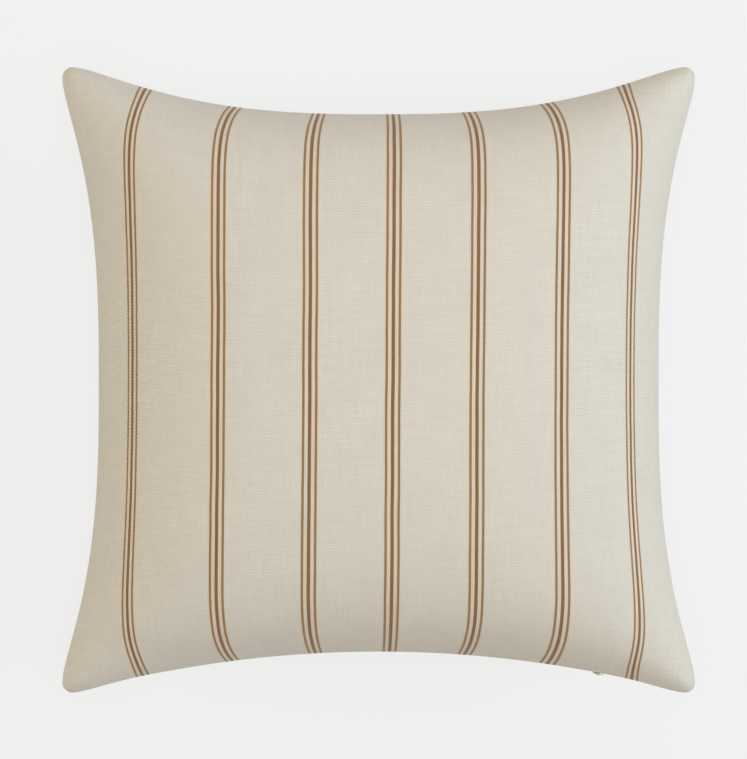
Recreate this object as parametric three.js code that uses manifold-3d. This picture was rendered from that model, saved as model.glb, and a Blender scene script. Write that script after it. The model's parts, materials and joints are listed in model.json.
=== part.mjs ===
// A square throw pillow: a striped woven cover with a concealed zip, over a separate filled insert.
// Millimetres. The pillow lies on its back panel: +Z is up out of the front panel, +Y is the top of
// the cover as it is worn, and the origin lies under the middle of its outline, on the flat patch
// that it rests on.
import * as THREE from "three";
import { mergeVertices } from "three/addons/utils/BufferGeometryUtils.js";
import Module from "manifold-3d";

// Sizes of the filled cover. The seam is pulled in at the middle of each side.
const WAIST_WIDTH = 423;
const WAIST_HEIGHT = 406;
const SIDE_PULL = 38;
const SIDE_PULL_POWER = 2.75;
const TOP_PULL = 48;
const TOP_PULL_POWER = 2.6;
const BOTTOM_ARC_RADIUS = 870;
const BOTTOM_EAR = 6;
const CORNER_BLUNT = 0.045;
const CORNER_POWER = 14.7;
const FRONT_CROWN = 99;
const BACK_CROWN = 99;
const REST_FLAT_DEPTH = 5;
const CROWN_POWER = 2.4;

// Cloth, threads and labels.
const CLEARANCE = 0.3;
const COVER_CLOTH = 1.2;
const SEAM_GAP = 1.8;
const SEAM_ALLOWANCE = 10;
const ALLOWANCE_CLOTH = 0.8;
const OVERLOCK_WIDTH = 1.8;
const OVERLOCK_WRAP = 0.5;
const OVERLOCK_END_GAP = 20;
const LABEL_CLOTH = 0.4;
const TICKING_CLOTH = 0.8;
const INSERT_EDGE_EASE = 1.9;
const INSERT_EASE = 1;
const INSERT_SEAM_GAP = 1.2;
const FILLING_OPENING = 150;

// The zip lies in the bottom seam, on one true arc of BOTTOM_ARC_RADIUS.
const TAPE_CLOTH = 0.6;
const ZIP_STITCH = 0.5;
const COIL_CLEARANCE = 0.5;
const COIL_WIDTH = 2;
const COIL_DEPTH = 1.4;
const STOP_LENGTH = 2.4;
const SLIDER_LENGTH = 16;
const SLIDER_WALL = 1;
const SLIDER_CLEARANCE = 0.45;
const BAIL_BAR = 0.55;
const BAIL_LENGTH = 8;
const BAIL_CORNER = 0.45;
const PULL_LENGTH = 20;
const PULL_WIDTH = 5;
const PULL_NECK_WIDTH = 3;
const PULL_THICKNESS = 0.7;
const PULL_EYE_WALL = 0.4;
const PULL_EYE_WIDTH = 2.6;
const PULL_EYE_CLEARANCE = 0.15;
const PULL_EYE_SIDES = 14;

// Grid steps across a cover panel and an insert panel, and the cover's steps that the zip leaves
// at each end of the bottom seam.
const COVER_STEPS = 20;
const INSERT_STEPS = 14;
const ZIP_MARGIN_STEPS = 5;

// Grid lines of the small strips laid on a panel: the zip's stitch line up from the seam, the care
// label from the left seam inwards and along it, and the insert's label along and down from the top.
const ZIP_STITCH_ROWS = [0.5, 0.56];
const CARE_LABEL_COLUMNS = [0.2, 0.6, 1, 1.5, 2, 3];
const CARE_LABEL_ROWS = [5, 6, 7];
const INSERT_LABEL_COLUMNS = [4, 5];
const INSERT_LABEL_ROWS = [INSERT_STEPS - 2, INSERT_STEPS - 1, INSERT_STEPS - 0.2];
const SWEEP_STEP = 12;

const SEAM_Z = BACK_CROWN - REST_FLAT_DEPTH + SEAM_GAP / 2;
const ZIP_SHARE = Math.sin((Math.PI / 2) * (1 - (2 * ZIP_MARGIN_STEPS) / COVER_STEPS));
const BOTTOM_SEAM_HALF = WAIST_WIDTH / 2 + SIDE_PULL;
const ZIP_HALF = ZIP_SHARE * BOTTOM_SEAM_HALF;
const ARC_CENTRE_Y = -WAIST_HEIGHT / 2 - BOTTOM_ARC_RADIUS;

const wasm = await Module();
wasm.setup();

const COLOURS = {
  cloth: 0xd8d0bf,
  thread: 0xcfc4ae,
  tape: 0xd9cfba,
  metal: 0xb9a98c,
  label: 0xf1efe9,
  ticking: 0xf3f1ec,
  fibre: 0xfafaf7,
};

function meshOf(name, geometry, colour, roughness = 0.9, metalness = 0) {
  const material = new THREE.MeshStandardMaterial({ color: colour, roughness, metalness });
  const mesh = new THREE.Mesh(geometry, material);
  mesh.name = name;
  return mesh;
}

// --- The pillow's shape: layers that nest inside each other -------------------------------------

// Shares from -1 to 1 across the pillow, closer together towards the seams, where the sides are steep.
function shareAt(step, steps) {
  return Math.sin((Math.PI / 2) * ((2 * step) / steps - 1));
}

// How far the bottom seam has dropped below its middle at share u of a layer stepped in by inset.
function bottomDrop(u, inset) {
  const radius = BOTTOM_ARC_RADIUS + inset;
  const x = u * (BOTTOM_SEAM_HALF - inset);
  const past = Math.max(0, (Math.abs(u) - ZIP_SHARE) / (1 - ZIP_SHARE));
  return radius - Math.sqrt(radius ** 2 - x ** 2) + BOTTOM_EAR * past ** 2;
}

// The place in plan of shares u, v on a layer stepped in by inset.
function planPoint(u, v, inset) {
  const halfWidth = WAIST_WIDTH / 2 - inset + SIDE_PULL * Math.abs(v) ** SIDE_PULL_POWER;
  const pull = v > 0 ? TOP_PULL * Math.abs(u) ** TOP_PULL_POWER : bottomDrop(u, inset);
  const blunt = 1 - CORNER_BLUNT * Math.abs(u * v) ** CORNER_POWER;
  return [u * halfWidth * blunt, v * (WAIST_HEIGHT / 2 - inset + pull) * blunt];
}

function crownShare(u, v) {
  return Math.sqrt(
    Math.max(0, (1 - Math.abs(u) ** CROWN_POWER) * (1 - Math.abs(v) ** CROWN_POWER)),
  );
}

// A layer is one surface of a panel: side +1 is the front and -1 the back, inset is its step in at
// the seam, cut is its step in at the crown, and base is its height off the seam's plane.
function layerPoint(layer, u, v) {
  const [x, y] = planPoint(u, v, layer.inset);
  const crown = (layer.side > 0 ? FRONT_CROWN : BACK_CROWN) - layer.cut;
  const limit = layer.side > 0 ? Infinity : BACK_CROWN - REST_FLAT_DEPTH - layer.cut;
  const rise = Math.min(crown * crownShare(u, v), limit);
  return [x, y, SEAM_Z + layer.side * (layer.base + rise)];
}

// Closes a grid of outer and inner points, [row][column], into a solid with a rim of extra loops
// between them. The points run so that columns, rows and outwards make a right-handed set on the
// front, and flipped turns the faces over for the back.
function shellGeometry(outer, inner, rimLoops, flipped) {
  const positions = [];
  const faces = [];
  const put = (point) => positions.push(...point) / 3 - 1;
  const outerIds = outer.map((row) => row.map(put));
  const innerIds = inner.map((row) => row.map(put));
  const quad = (a, b, c, d) => {
    faces.push(...(flipped ? [a, c, b, a, d, c] : [a, b, c, a, c, d]));
  };
  const rows = outer.length - 1;
  const columns = outer[0].length - 1;
  for (let j = 0; j < rows; j++) {
    for (let i = 0; i < columns; i++) {
      const [near, far] = [outerIds[j], outerIds[j + 1]];
      quad(near[i], near[i + 1], far[i + 1], far[i]);
      const [nearIn, farIn] = [innerIds[j], innerIds[j + 1]];
      // The same diagonal as outside, so that nested layers stay parallel.
      faces.push(
        ...(flipped
          ? [nearIn[i], nearIn[i + 1], farIn[i + 1], nearIn[i], farIn[i + 1], farIn[i]]
          : [nearIn[i], farIn[i + 1], nearIn[i + 1], nearIn[i], farIn[i], farIn[i + 1]]),
      );
    }
  }
  const loops = [
    boundaryOf(outerIds),
    ...rimLoops.map((loop) => loop.map(put)),
    boundaryOf(innerIds),
  ];
  for (let k = 0; k + 1 < loops.length; k++) {
    const count = loops[k].length;
    for (let i = 0; i < count; i++) {
      const next = (i + 1) % count;
      quad(loops[k][next], loops[k][i], loops[k + 1][i], loops[k + 1][next]);
    }
  }
  const geometry = new THREE.BufferGeometry();
  geometry.setAttribute("position", new THREE.Float32BufferAttribute(positions, 3));
  geometry.setIndex(faces);
  geometry.computeVertexNormals();
  return geometry;
}

// The grid's rim, counter-clockwise from its first corner.
function boundaryOf(grid) {
  const rows = grid.length - 1;
  const columns = grid[0].length - 1;
  const rim = [];
  for (let i = 0; i < columns; i++) rim.push(grid[0][i]);
  for (let j = 0; j < rows; j++) rim.push(grid[j][columns]);
  for (let i = columns; i > 0; i--) rim.push(grid[rows][i]);
  for (let j = rows; j > 0; j--) rim.push(grid[j][0]);
  return rim;
}

function layerGrid(layer, steps) {
  const shares = Array.from({ length: steps + 1 }, (_, i) => shareAt(i, steps));
  return shares.map((v) => shares.map((u) => layerPoint(layer, u, v)));
}

// Points between grid lines lie on the straight facets of the layer, so that what is laid on a
// panel follows its faceted surface.
function pointOnFacets(grid, column, row) {
  const i = Math.min(Math.floor(column), grid[0].length - 2);
  const j = Math.min(Math.floor(row), grid.length - 2);
  const mix = (a, b, t) => a.map((value, k) => value + (b[k] - value) * t);
  const near = mix(grid[j][i], grid[j][i + 1], column - i);
  const far = mix(grid[j + 1][i], grid[j + 1][i + 1], column - i);
  return mix(near, far, row - j);
}

// A strip of cloth or thread laid on a panel between two layers, over the given grid lines.
function stripGeometry(outerLayer, innerLayer, steps, columns, rows) {
  const patch = (layer) => {
    const grid = layerGrid(layer, steps);
    return rows.map((row) => columns.map((column) => pointOnFacets(grid, column, row)));
  };
  return shellGeometry(patch(outerLayer), patch(innerLayer), [], outerLayer.side < 0);
}

function linesFrom(first, last, count) {
  return Array.from({ length: count + 1 }, (_, i) => first + ((last - first) * i) / count);
}

// --- Cover --------------------------------------------------------------------------------------

const isOnZip = (u, v) => v === -1 && Math.abs(u) <= ZIP_SHARE + 1e-6;

// The cloth turned in along the seam: a flat allowance, left out where the zip tape takes its place.
function allowanceLoop(side, height, zipInset) {
  const shares = Array.from({ length: COVER_STEPS + 1 }, (_, i) => shareAt(i, COVER_STEPS));
  const grid = shares.map((v) =>
    shares.map((u) => {
      const [x, y] = planPoint(u, v, isOnZip(u, v) ? zipInset : SEAM_ALLOWANCE);
      return [x, y, SEAM_Z + side * height];
    }),
  );
  return boundaryOf(grid);
}

function coverPanel(side) {
  const base = SEAM_GAP / 2;
  const allowanceTop = base + ALLOWANCE_CLOTH;
  const outer = layerGrid({ side, inset: 0, cut: 0, base }, COVER_STEPS);
  const inner = layerGrid(
    { side, inset: COVER_CLOTH, cut: COVER_CLOTH + ALLOWANCE_CLOTH, base: allowanceTop },
    COVER_STEPS,
  );
  const rim = [
    allowanceLoop(side, base, COVER_CLOTH),
    allowanceLoop(side, allowanceTop - CLEARANCE / 2, COVER_CLOTH),
  ];
  return shellGeometry(outer, inner, rim, side < 0);
}

// Shares round the seam in order, counter-clockwise from share start of the bottom seam's right
// half to the same share of its left half.
function seamShares(start, steps) {
  const shares = Array.from({ length: steps + 1 }, (_, i) => shareAt(i, steps));
  const outward = shares.filter((share) => share > start + 1e-6);
  return [
    ...[start, ...outward].map((u) => [u, -1]),
    ...shares.slice(1).map((v) => [1, v]),
    ...shares.slice(1).map((u) => [-u, 1]),
    ...shares.slice(1).map((v) => [-1, -v]),
    ...[...outward.slice(0, -1).reverse(), start].map((u) => [-u, -1]),
  ];
}

// A thread or binding that runs in the seam's plane, between two steps in from the seam line.
function seamBand(shares, fromInset, toInset, halfHeight) {
  const rowsAt = (z) =>
    [fromInset, toInset].map((inset) => shares.map(([u, v]) => [...planPoint(u, v, inset), z]));
  return shellGeometry(rowsAt(SEAM_Z + halfHeight), rowsAt(SEAM_Z - halfHeight), [], false);
}

const shareOfSeam = (distance) => distance / BOTTOM_SEAM_HALF;

// The lockstitch that closes the cover on three sides and past the ends of the zip.
function coverSeamThread() {
  const halfHeight = SEAM_GAP / 2 - CLEARANCE;
  const shares = seamShares(ZIP_SHARE + shareOfSeam(2 * CLEARANCE), COVER_STEPS);
  return seamBand(shares, CLEARANCE, CLEARANCE + 2 * halfHeight, halfHeight);
}

// The overlock thread wrapped round both raw edges of the seam allowance.
function coverOverlock() {
  const halfHeight = SEAM_GAP / 2 + ALLOWANCE_CLOTH + OVERLOCK_WRAP;
  const inset = SEAM_ALLOWANCE + CLEARANCE;
  const shares = seamShares(ZIP_SHARE + shareOfSeam(OVERLOCK_END_GAP), COVER_STEPS);
  return seamBand(shares, inset, inset + OVERLOCK_WIDTH, halfHeight);
}

// The sewn-in care label, a blank folded tab on the back panel's inner face at the left seam.
function careLabel() {
  const inset = COVER_CLOTH + CLEARANCE;
  const cut = inset + ALLOWANCE_CLOTH;
  const base = SEAM_GAP / 2 + ALLOWANCE_CLOTH;
  const outside = { side: -1, inset, cut, base };
  const inside = { side: -1, inset: inset + LABEL_CLOTH, cut: cut + LABEL_CLOTH, base };
  return stripGeometry(outside, inside, COVER_STEPS, CARE_LABEL_COLUMNS, CARE_LABEL_ROWS);
}

// --- Zip ----------------------------------------------------------------------------------------

const ZIP_FIRST = ZIP_MARGIN_STEPS;
const ZIP_LAST = COVER_STEPS - ZIP_MARGIN_STEPS;
const TAPE_INSET = COVER_CLOTH + CLEARANCE;
const COIL_INSET = TAPE_INSET + TAPE_CLOTH + COIL_CLEARANCE;
const zipLines = linesFrom(ZIP_FIRST, ZIP_LAST, ZIP_LAST - ZIP_FIRST);

// Layers inside the cover along the zip, all with the wall of the cover above them.
function zipLayer(side, inset) {
  const base = SEAM_GAP / 2 + ALLOWANCE_CLOTH;
  return { side, inset, cut: inset + ALLOWANCE_CLOTH, base };
}

// One woven tape, standing up against the inner face of its panel for one grid step.
function zipTape(side) {
  const outside = zipLayer(side, TAPE_INSET);
  const inside = zipLayer(side, TAPE_INSET + TAPE_CLOTH);
  return stripGeometry(outside, inside, COVER_STEPS, zipLines, [0, 1]);
}

// The thread that sews a tape to its panel.
function zipStitch(side) {
  const inset = TAPE_INSET + TAPE_CLOTH + CLEARANCE;
  const outside = zipLayer(side, inset);
  const inside = zipLayer(side, inset + ZIP_STITCH);
  return stripGeometry(outside, inside, COVER_STEPS, zipLines, ZIP_STITCH_ROWS);
}

function boxSection(height, width) {
  const shape = new THREE.Shape();
  shape.moveTo(-height / 2, -width / 2);
  shape.lineTo(height / 2, -width / 2);
  shape.lineTo(height / 2, width / 2);
  shape.lineTo(-height / 2, width / 2);
  return shape;
}

function sweep(shape, path, steps) {
  return new THREE.ExtrudeGeometry(shape, { extrudePath: path, steps, bevelEnabled: false });
}

// The arc of the bottom seam, stepped in by inset and lifted off its plane, between two places
// along the seam that are given as distances from its middle.
function seamArc(inset, lift, from, to) {
  const radius = BOTTOM_ARC_RADIUS + inset;
  const steps = Math.max(2, Math.ceil(Math.abs(to - from) / SWEEP_STEP));
  const points = linesFrom(from, to, steps).map((distance) => {
    const angle = distance / BOTTOM_ARC_RADIUS;
    const x = radius * Math.sin(angle);
    const y = ARC_CENTRE_Y + radius * Math.cos(angle);
    return new THREE.Vector3(x, y, SEAM_Z + lift);
  });
  return { path: new THREE.CatmullRomCurve3(points, false, "centripetal"), steps };
}

const ZIP_ARC_HALF = BOTTOM_ARC_RADIUS * Math.asin(ZIP_HALF / BOTTOM_ARC_RADIUS);
const STOP_START = ZIP_ARC_HALF - STOP_LENGTH;
const COIL_HALF = STOP_START - CLEARANCE;
const SLIDER_REST = COIL_HALF - SLIDER_LENGTH / 2;
const COIL_LIFT = SEAM_GAP / 2 + COIL_DEPTH / 2;

// A sweep's section is laid out with its first axis up and its second across the seam.
function zipCoil(side) {
  const { path, steps } = seamArc(COIL_INSET + COIL_WIDTH / 2, side * COIL_LIFT, -COIL_HALF, COIL_HALF);
  return sweep(boxSection(COIL_DEPTH, COIL_WIDTH), path, steps);
}

// A metal stop clamped past the end of a coil. The bottom one joins both coils.
function zipStop(lift, depth, sign) {
  const from = sign * STOP_START;
  const to = sign * ZIP_ARC_HALF;
  const { path, steps } = seamArc(COIL_INSET + COIL_WIDTH / 2, lift, Math.min(from, to), Math.max(from, to));
  return sweep(boxSection(depth, COIL_WIDTH), path, steps);
}

function solidFrom(geometry) {
  const plain = geometry.clone();
  plain.deleteAttribute("normal");
  plain.deleteAttribute("uv");
  const merged = mergeVertices(plain, 1e-4);
  return new wasm.Manifold(
    new wasm.Mesh({
      numProp: 3,
      vertProperties: merged.attributes.position.array,
      triVerts: new Uint32Array(merged.index.array),
    }),
  );
}

function geometryFrom(solid) {
  const mesh = solid.getMesh();
  const geometry = new THREE.BufferGeometry();
  geometry.setAttribute("position", new THREE.BufferAttribute(mesh.vertProperties, 3));
  geometry.setIndex(new THREE.BufferAttribute(mesh.triVerts, 1));
  geometry.computeVertexNormals();
  return geometry;
}

// The slider in its own frame: X along the zip, Y into the pillow from the seam, Z up.
const NECK_THICKNESS = SEAM_GAP - 2 * CLEARANCE;
const PLATE_Z = SEAM_GAP / 2 + COIL_DEPTH + SLIDER_CLEARANCE;
const PLATE_START = COIL_INSET + 2 * SLIDER_CLEARANCE;
const PLATE_END = COIL_INSET + COIL_WIDTH + SLIDER_CLEARANCE;

function blockAt(sizeX, [fromY, toY], [fromZ, toZ]) {
  const block = new THREE.BoxGeometry(sizeX, toY - fromY, toZ - fromZ);
  block.translate(0, (fromY + toY) / 2, (fromZ + toZ) / 2);
  return solidFrom(block);
}

// The pull's eye turns round the bail's bar and clears the seam.
const EYE_RADIUS = (BAIL_BAR * Math.SQRT2) / 2 + PULL_EYE_CLEARANCE;
const EYE_OUTSIDE = EYE_RADIUS + PULL_EYE_WALL;
const BAR_Y = -EYE_OUTSIDE - PULL_EYE_CLEARANCE;

// The bail that stands out of the seam: a flat loop whose bar the pull hangs from.
function bail() {
  const half = BAIL_LENGTH / 2;
  const reach = BAR_Y - BAIL_BAR / 2;
  const corner = BAIL_CORNER;
  const shape = new THREE.Shape();
  shape.moveTo(-half, PLATE_START);
  shape.lineTo(-half, reach + corner);
  shape.quadraticCurveTo(-half, reach, -half + corner, reach);
  shape.lineTo(half - corner, reach);
  shape.quadraticCurveTo(half, reach, half, reach + corner);
  shape.lineTo(half, PLATE_START);
  const window = new THREE.Path();
  const side = half - BAIL_BAR;
  window.moveTo(-side, reach + BAIL_BAR);
  window.lineTo(-side, PULL_EYE_CLEARANCE);
  window.lineTo(side, PULL_EYE_CLEARANCE);
  window.lineTo(side, reach + BAIL_BAR);
  shape.holes.push(window);
  const depth = BAIL_BAR;
  const plate = new THREE.ExtrudeGeometry(shape, { depth, bevelEnabled: false, curveSegments: 4 });
  plate.translate(0, 0, -depth / 2);
  return solidFrom(plate);
}

function zipSlider() {
  const outerZ = PLATE_Z + SLIDER_WALL;
  const backY = [PLATE_END, PLATE_END + SLIDER_WALL];
  const neckY = [PLATE_START - SLIDER_WALL, backY[1]];
  const parts = [
    blockAt(SLIDER_LENGTH, [PLATE_START, backY[1]], [PLATE_Z, outerZ]),
    blockAt(SLIDER_LENGTH, [PLATE_START, backY[1]], [-outerZ, -PLATE_Z]),
    blockAt(SLIDER_LENGTH, backY, [-outerZ, outerZ]),
    blockAt(BAIL_LENGTH, neckY, [-NECK_THICKNESS / 2, NECK_THICKNESS / 2]),
    bail(),
  ];
  return geometryFrom(parts.reduce((whole, part) => whole.add(part)));
}

// A round eye about X, of the pull's eye width.
function pullEye() {
  const ring = (radius) =>
    Array.from({ length: PULL_EYE_SIDES }, (_, k) => {
      const angle = (2 * Math.PI * k) / PULL_EYE_SIDES;
      return new THREE.Vector2(radius * Math.cos(angle), radius * Math.sin(angle));
    });
  const shape = new THREE.Shape(ring(EYE_OUTSIDE));
  shape.holes.push(new THREE.Path(ring(EYE_RADIUS).reverse()));
  const eye = new THREE.ExtrudeGeometry(shape, { depth: PULL_EYE_WIDTH, bevelEnabled: false });
  eye.translate(0, 0, -PULL_EYE_WIDTH / 2);
  eye.rotateY(Math.PI / 2);
  return solidFrom(eye);
}

// The pull tab hanging from the bail's bar, in its own frame: X along the zip, Z up its length,
// with the axis of its eye at the origin.
function pullTab() {
  const half = PULL_WIDTH / 2;
  const neck = PULL_NECK_WIDTH / 2;
  const top = -(EYE_RADIUS + EYE_OUTSIDE) / 2;
  const shape = new THREE.Shape();
  shape.moveTo(-neck, top);
  shape.quadraticCurveTo(-half, -PULL_LENGTH / 2, -half, -PULL_LENGTH + half);
  shape.bezierCurveTo(-half, -PULL_LENGTH, half, -PULL_LENGTH, half, -PULL_LENGTH + half);
  shape.quadraticCurveTo(half, -PULL_LENGTH / 2, neck, top);
  const depth = PULL_THICKNESS;
  const plate = new THREE.ExtrudeGeometry(shape, { depth, bevelEnabled: false, curveSegments: 6 });
  plate.translate(0, 0, -depth / 2);
  plate.rotateX(Math.PI / 2);
  return geometryFrom(pullEye().add(solidFrom(plate)));
}

// Puts a group at a distance along the seam, turned to the seam's direction there.
function atSeam(distance) {
  const angle = distance / BOTTOM_ARC_RADIUS;
  const group = new THREE.Group();
  group.position.set(
    BOTTOM_ARC_RADIUS * Math.sin(angle),
    ARC_CENTRE_Y + BOTTOM_ARC_RADIUS * Math.cos(angle),
    SEAM_Z,
  );
  group.rotation.z = -angle;
  return group;
}

// --- Insert -------------------------------------------------------------------------------------

const INSERT_INSET = SEAM_ALLOWANCE + CLEARANCE + OVERLOCK_WIDTH + INSERT_EDGE_EASE;
const INSERT_CUT = COVER_CLOTH + INSERT_EASE + (INSERT_SEAM_GAP - SEAM_GAP) / 2;

function insertLayer(side, inset, cut) {
  return { side, inset: INSERT_INSET + inset, cut: INSERT_CUT + cut, base: INSERT_SEAM_GAP / 2 };
}

function insertPanel(side) {
  const outer = layerGrid(insertLayer(side, 0, 0), INSERT_STEPS);
  const inner = layerGrid(insertLayer(side, TICKING_CLOTH, TICKING_CLOTH), INSERT_STEPS);
  return shellGeometry(outer, inner, [], side < 0);
}

// The blank tag sewn into the insert's top seam, lying on its front.
function insertLabel() {
  const outside = insertLayer(1, -CLEARANCE - LABEL_CLOTH, -CLEARANCE);
  const inside = insertLayer(1, -CLEARANCE, 0);
  return stripGeometry(outside, inside, INSERT_STEPS, INSERT_LABEL_COLUMNS, INSERT_LABEL_ROWS);
}

const INSERT_THREAD = INSERT_SEAM_GAP / 2 - CLEARANCE;
const INSERT_THREAD_INSET = INSERT_INSET + CLEARANCE / 2;

function insertThread(shares) {
  const toInset = INSERT_THREAD_INSET + 2 * INSERT_THREAD;
  return seamBand(shares, INSERT_THREAD_INSET, toInset, INSERT_THREAD);
}

// The insert's machine seam, open along the filling opening in its bottom side.
function insertSeamThread() {
  return insertThread(seamShares(shareOfSeam(FILLING_OPENING / 2 + CLEARANCE), INSERT_STEPS));
}

// The stitch that closes the opening after filling.
function insertClosingStitch() {
  const end = shareOfSeam(FILLING_OPENING / 2 - CLEARANCE);
  const shares = Array.from({ length: INSERT_STEPS + 1 }, (_, i) => shareAt(i, INSERT_STEPS));
  const between = shares.filter((share) => Math.abs(share) < end - 1e-6);
  return insertThread([-end, ...between, end].map((u) => [u, -1]));
}

// The filling: one soft block that fills the insert, knife-edged at its seam.
function fillCore() {
  const inset = TICKING_CLOTH + 3 * CLEARANCE;
  const halves = [1, -1].map((side) => {
    const layer = insertLayer(side, inset, inset + CLEARANCE);
    return layerGrid({ ...layer, base: 0 }, INSERT_STEPS);
  });
  return mergeVertices(shellGeometry(halves[0], halves[1], [], false), 1e-3);
}

function outlineY(pick) {
  const rim = boundaryOf(layerGrid({ side: 1, inset: 0, cut: 0, base: 0 }, COVER_STEPS));
  return pick(...rim.map((point) => point[1]));
}

// --- Assembly -----------------------------------------------------------------------------------

const pillow = new THREE.Group();
const add = (...args) => pillow.add(meshOf(...args));

for (const [word, side] of [["front", 1], ["back", -1]]) {
  add("cover_" + word, coverPanel(side), COLOURS.cloth);
  add("zipper_tape_" + word, zipTape(side), COLOURS.tape);
  add("zipper_stitch_" + word, zipStitch(side), COLOURS.thread);
  add("zipper_coil_" + word, zipCoil(side), COLOURS.tape, 0.5);
  add("zipper_top_stop_" + word, zipStop(side * COIL_LIFT, COIL_DEPTH, 1), COLOURS.metal, 0.4, 0.8);
  add("insert_" + word, insertPanel(side), COLOURS.ticking);
}
add("zipper_bottom_stop", zipStop(0, SEAM_GAP + 2 * COIL_DEPTH, -1), COLOURS.metal, 0.4, 0.8);
add("cover_seam_thread", coverSeamThread(), COLOURS.thread);
add("cover_overlock_thread", coverOverlock(), COLOURS.thread);
add("care_label", careLabel(), COLOURS.label);
add("insert_seam_thread", insertSeamThread(), COLOURS.ticking);
add("insert_closing_stitch", insertClosingStitch(), COLOURS.ticking);
add("insert_label", insertLabel(), COLOURS.label);
add("fill_core", fillCore(), COLOURS.fibre);

const sliderPlace = atSeam(SLIDER_REST);
sliderPlace.add(meshOf("zipper_slider", zipSlider(), COLOURS.metal, 0.5, 0.6));
const tab = meshOf("zipper_pull_tab", pullTab(), COLOURS.metal, 0.5, 0.6);
tab.position.y = BAR_Y;
sliderPlace.add(tab);
pillow.add(sliderPlace);

// The top corners reach further from the waist than the bottom ones, so the outline's middle is
// found from the panel and moved over the origin.
pillow.position.y = -(outlineY(Math.max) + outlineY(Math.min)) / 2;

export default pillow;
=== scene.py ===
"""A square throw pillow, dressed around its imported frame.

The striped cover is cut as two flat squares of cloth, filled by a cloth simulation, and closed by
a zip in its bottom seam. It holds a separate insert. Metres, with +Z up out of the front panel and
+Y towards the top of the cover. The pillow lies on its back panel.
"""
import json
import logging
import math
from collections.abc import Callable, Sequence
from dataclasses import dataclass, field
from enum import Enum

import bpy
import numpy as np
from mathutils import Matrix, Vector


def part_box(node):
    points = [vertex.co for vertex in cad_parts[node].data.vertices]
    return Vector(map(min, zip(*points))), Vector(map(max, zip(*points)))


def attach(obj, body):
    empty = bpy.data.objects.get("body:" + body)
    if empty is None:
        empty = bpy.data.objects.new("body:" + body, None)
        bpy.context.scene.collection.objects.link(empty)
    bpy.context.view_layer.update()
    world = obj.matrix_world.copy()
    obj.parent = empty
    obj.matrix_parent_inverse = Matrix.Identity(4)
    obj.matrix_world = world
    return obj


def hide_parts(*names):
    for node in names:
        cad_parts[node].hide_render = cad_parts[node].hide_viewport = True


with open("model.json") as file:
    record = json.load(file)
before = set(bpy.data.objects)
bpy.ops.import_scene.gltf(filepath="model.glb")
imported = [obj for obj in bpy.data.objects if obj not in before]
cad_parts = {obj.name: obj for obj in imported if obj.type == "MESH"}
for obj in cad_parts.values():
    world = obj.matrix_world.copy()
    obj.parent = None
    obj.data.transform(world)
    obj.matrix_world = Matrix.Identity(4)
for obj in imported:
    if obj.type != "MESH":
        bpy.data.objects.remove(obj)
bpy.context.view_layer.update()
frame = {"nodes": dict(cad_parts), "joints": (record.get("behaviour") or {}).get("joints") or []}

Array = np.ndarray
Faces = list[tuple[int, ...]]
Colour = tuple[float, float, float]
Material = bpy.types.Material
Piece = bpy.types.Object
Socket = bpy.types.NodeSocket

TRAVEL = next(j for j in frame["joints"] if j["name"] == "slider_travel")
SEAM_Z = TRAVEL["pos_m"][2]
ARC_CENTRE_Y = TRAVEL["pos_m"][1]
UV_NAME = "ClothMetres"
log = logging.getLogger("pillow")


class Side(Enum):
    """Which panel of a cover or insert: its value is the sign of its height above the seam."""

    FRONT = 1
    BACK = -1

    @property
    def word(self) -> str:
        """The side as pieces' names have it."""
        return self.name.lower()


# --- Meshes ---


def add_object(name: str, data: bpy.types.ID) -> Piece:
    """Makes an object of a mesh, lamp or camera and links it to the scene."""
    made = bpy.data.objects.new(name, data)
    bpy.context.scene.collection.objects.link(made)
    return made


def add_mesh(name: str, points: Array, faces: Sequence[Sequence[int]],
             cloth: Array | None = None) -> Piece:
    """Makes a mesh object at the origin.

    Args:
        name: The piece's name.
        points: Its vertices, one row each.
        faces: Vertex numbers of each face, counter-clockwise seen from outside.
        cloth: Each vertex's place on the flat cloth in metres, kept as a UV map.

    Returns:
        The new object, smooth shaded.
    """
    mesh = bpy.data.meshes.new(name)
    mesh.from_pydata(np.asarray(points, float).tolist(), [], [tuple(map(int, f)) for f in faces])
    mesh.update()
    mesh.shade_smooth()
    if cloth is not None:
        layer = mesh.uv_layers.new(name=UV_NAME)
        corners = np.zeros(len(mesh.loops), np.int32)
        mesh.loops.foreach_get("vertex_index", corners)
        layer.data.foreach_set("uv", np.asarray(cloth, np.float32)[corners].ravel())
    return add_object(name, mesh)


def grid_faces(rows: int, columns: int, flipped: bool = False,
               closed: bool = False) -> Faces:
    """Lists the quads of a grid of points, row by row.

    Args:
        rows: Count of point rows.
        columns: Count of point columns.
        flipped: Turns every face over.
        closed: Joins the last column to the first.

    Returns:
        The quads as vertex numbers.
    """
    faces = []
    for j in range(rows - 1):
        for i in range(columns if closed else columns - 1):
            right, near, far = (i + 1) % columns, j * columns, (j + 1) * columns
            quad = (near + i, near + right, far + right, far + i)
            faces.append(quad[::-1] if flipped else quad)
    return faces


def closed_faces(count: int) -> Faces:
    """Lists the quads of two square grids with one rim, numbered as closed_points stacks them."""
    back = np.arange(count * count).reshape(count, count)
    back[1:-1, 1:-1] = count * count + np.arange((count - 2) ** 2).reshape(count - 2, count - 2)
    cells = grid_faces(count, count)
    return cells + [tuple(back.flat[k] for k in quad[::-1]) for quad in cells]


def closed_points(front: Array, back: Array) -> Array:
    """Stacks a front grid's points and those of a back grid inside their shared rim."""
    return np.vstack([front.reshape(-1, 3), back[1:-1, 1:-1].reshape(-1, 3)])


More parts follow.
